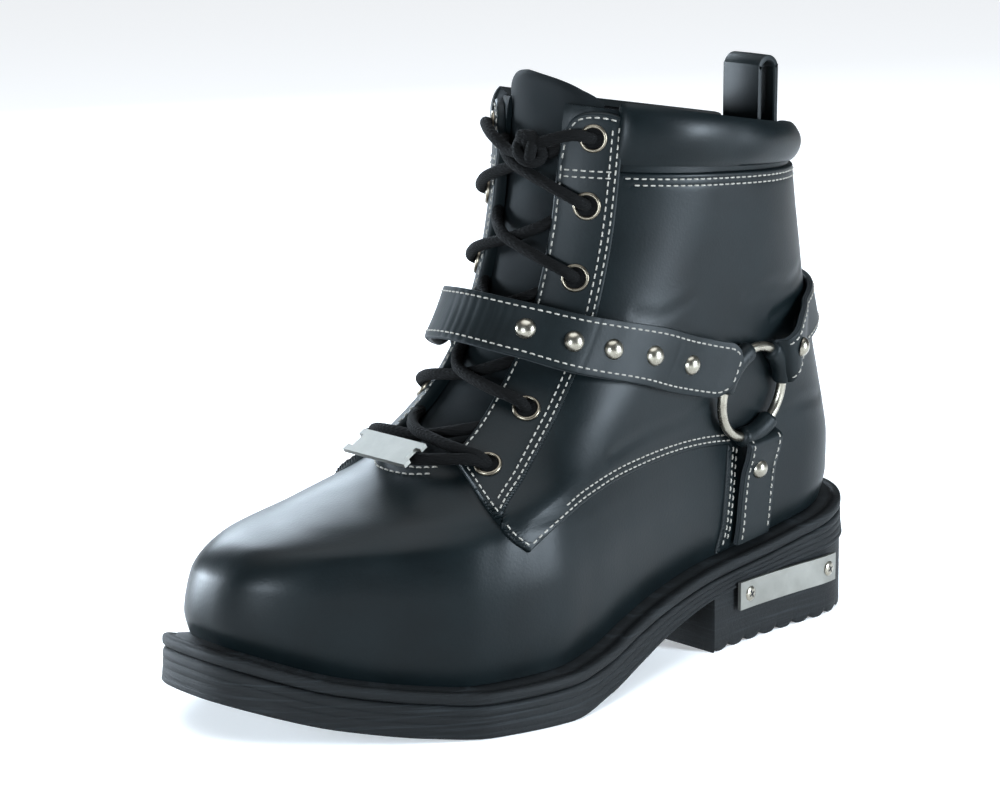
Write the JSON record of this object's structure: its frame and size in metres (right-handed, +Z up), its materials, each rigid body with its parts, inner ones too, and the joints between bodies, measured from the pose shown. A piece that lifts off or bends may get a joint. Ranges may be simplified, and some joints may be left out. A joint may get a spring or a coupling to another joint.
{
  "type": "motorcycle boot",
  "caption": "Left ankle-high motorcycle boot with laced throat, studded harness strap on rings, side zip, padded collar, pull loop and ridged rubber heel.",
  "frame": {"origin": "middle of the sole's length and width, on the floor", "axes": "+X towards the toe, +Y to the lateral (outer) side, +Z up"},
  "size_m": [0.3076, 0.126, 0.2263],
  "materials": {
    "black_leather": "semi-gloss grained",
    "black_rubber": "matt moulded",
    "black_cloth": "woven",
    "nickel_steel": "nickel plated",
    "old_brass": "antiqued"
  },
  "bodies": {
    "boot": {"backstay": "black_leather", "collar_pad_front": "black_leather", "collar_pad_lateral": "black_leather", "collar_pad_medial": "black_leather", "eyelet_lateral_1": "old_brass", "eyelet_lateral_2": "old_brass", "eyelet_lateral_3": "old_brass", "eyelet_lateral_4": "old_brass", "eyelet_lateral_5": "old_brass", "eyelet_lateral_6": "old_brass", "eyelet_medial_1": "old_brass", "eyelet_medial_2": "old_brass", "eyelet_medial_3": "old_brass", "eyelet_medial_4": "old_brass", "eyelet_medial_5": "old_brass", "eyelet_medial_6": "old_brass", "eyestay_lateral": "black_leather", "eyestay_medial": "black_leather", "heel": "black_rubber", "heel_plate": "nickel_steel", "heel_screw_front": "nickel_steel", "heel_screw_rear": "nickel_steel", "insole": "black_cloth", "lace_charm": "nickel_steel", "lace_crossings": "black_cloth", "outsole": "black_rubber", "pull_loop": "black_leather", "quarter_lateral": "black_leather", "quarter_medial_front": "black_leather", "quarter_medial_rear": "black_leather", "ring_lateral": "nickel_steel", "ring_medial": "nickel_steel", "rivet_back": "nickel_steel", "rivet_down": "nickel_steel", "rivet_medial": "nickel_steel", "strap_back": "black_leather", "strap_down": "black_leather", "strap_front": "black_leather", "strap_medial": "black_leather", "stud_1": "nickel_steel", "stud_2": "nickel_steel", "stud_3": "nickel_steel", "stud_4": "nickel_steel", "stud_5": "nickel_steel", "tongue": "black_leather", "upper": "black_leather", "welt": "black_rubber", "zip_chain": "nickel_steel", "zip_slider": "nickel_steel", "zip_tape": "black_cloth"},
    "zip_pull": {"zip_pull_tab": "nickel_steel"}
  },
  "joints": [
    {"name": "zip_pull_hinge", "type": "hinge", "parent": "boot", "child": "zip_pull", "pos_m": [-0.04811, -0.05683, 0.19631], "axis": [-0.9978, -0.0504, 0.0429], "range_deg": [0, 150]}
  ]
}
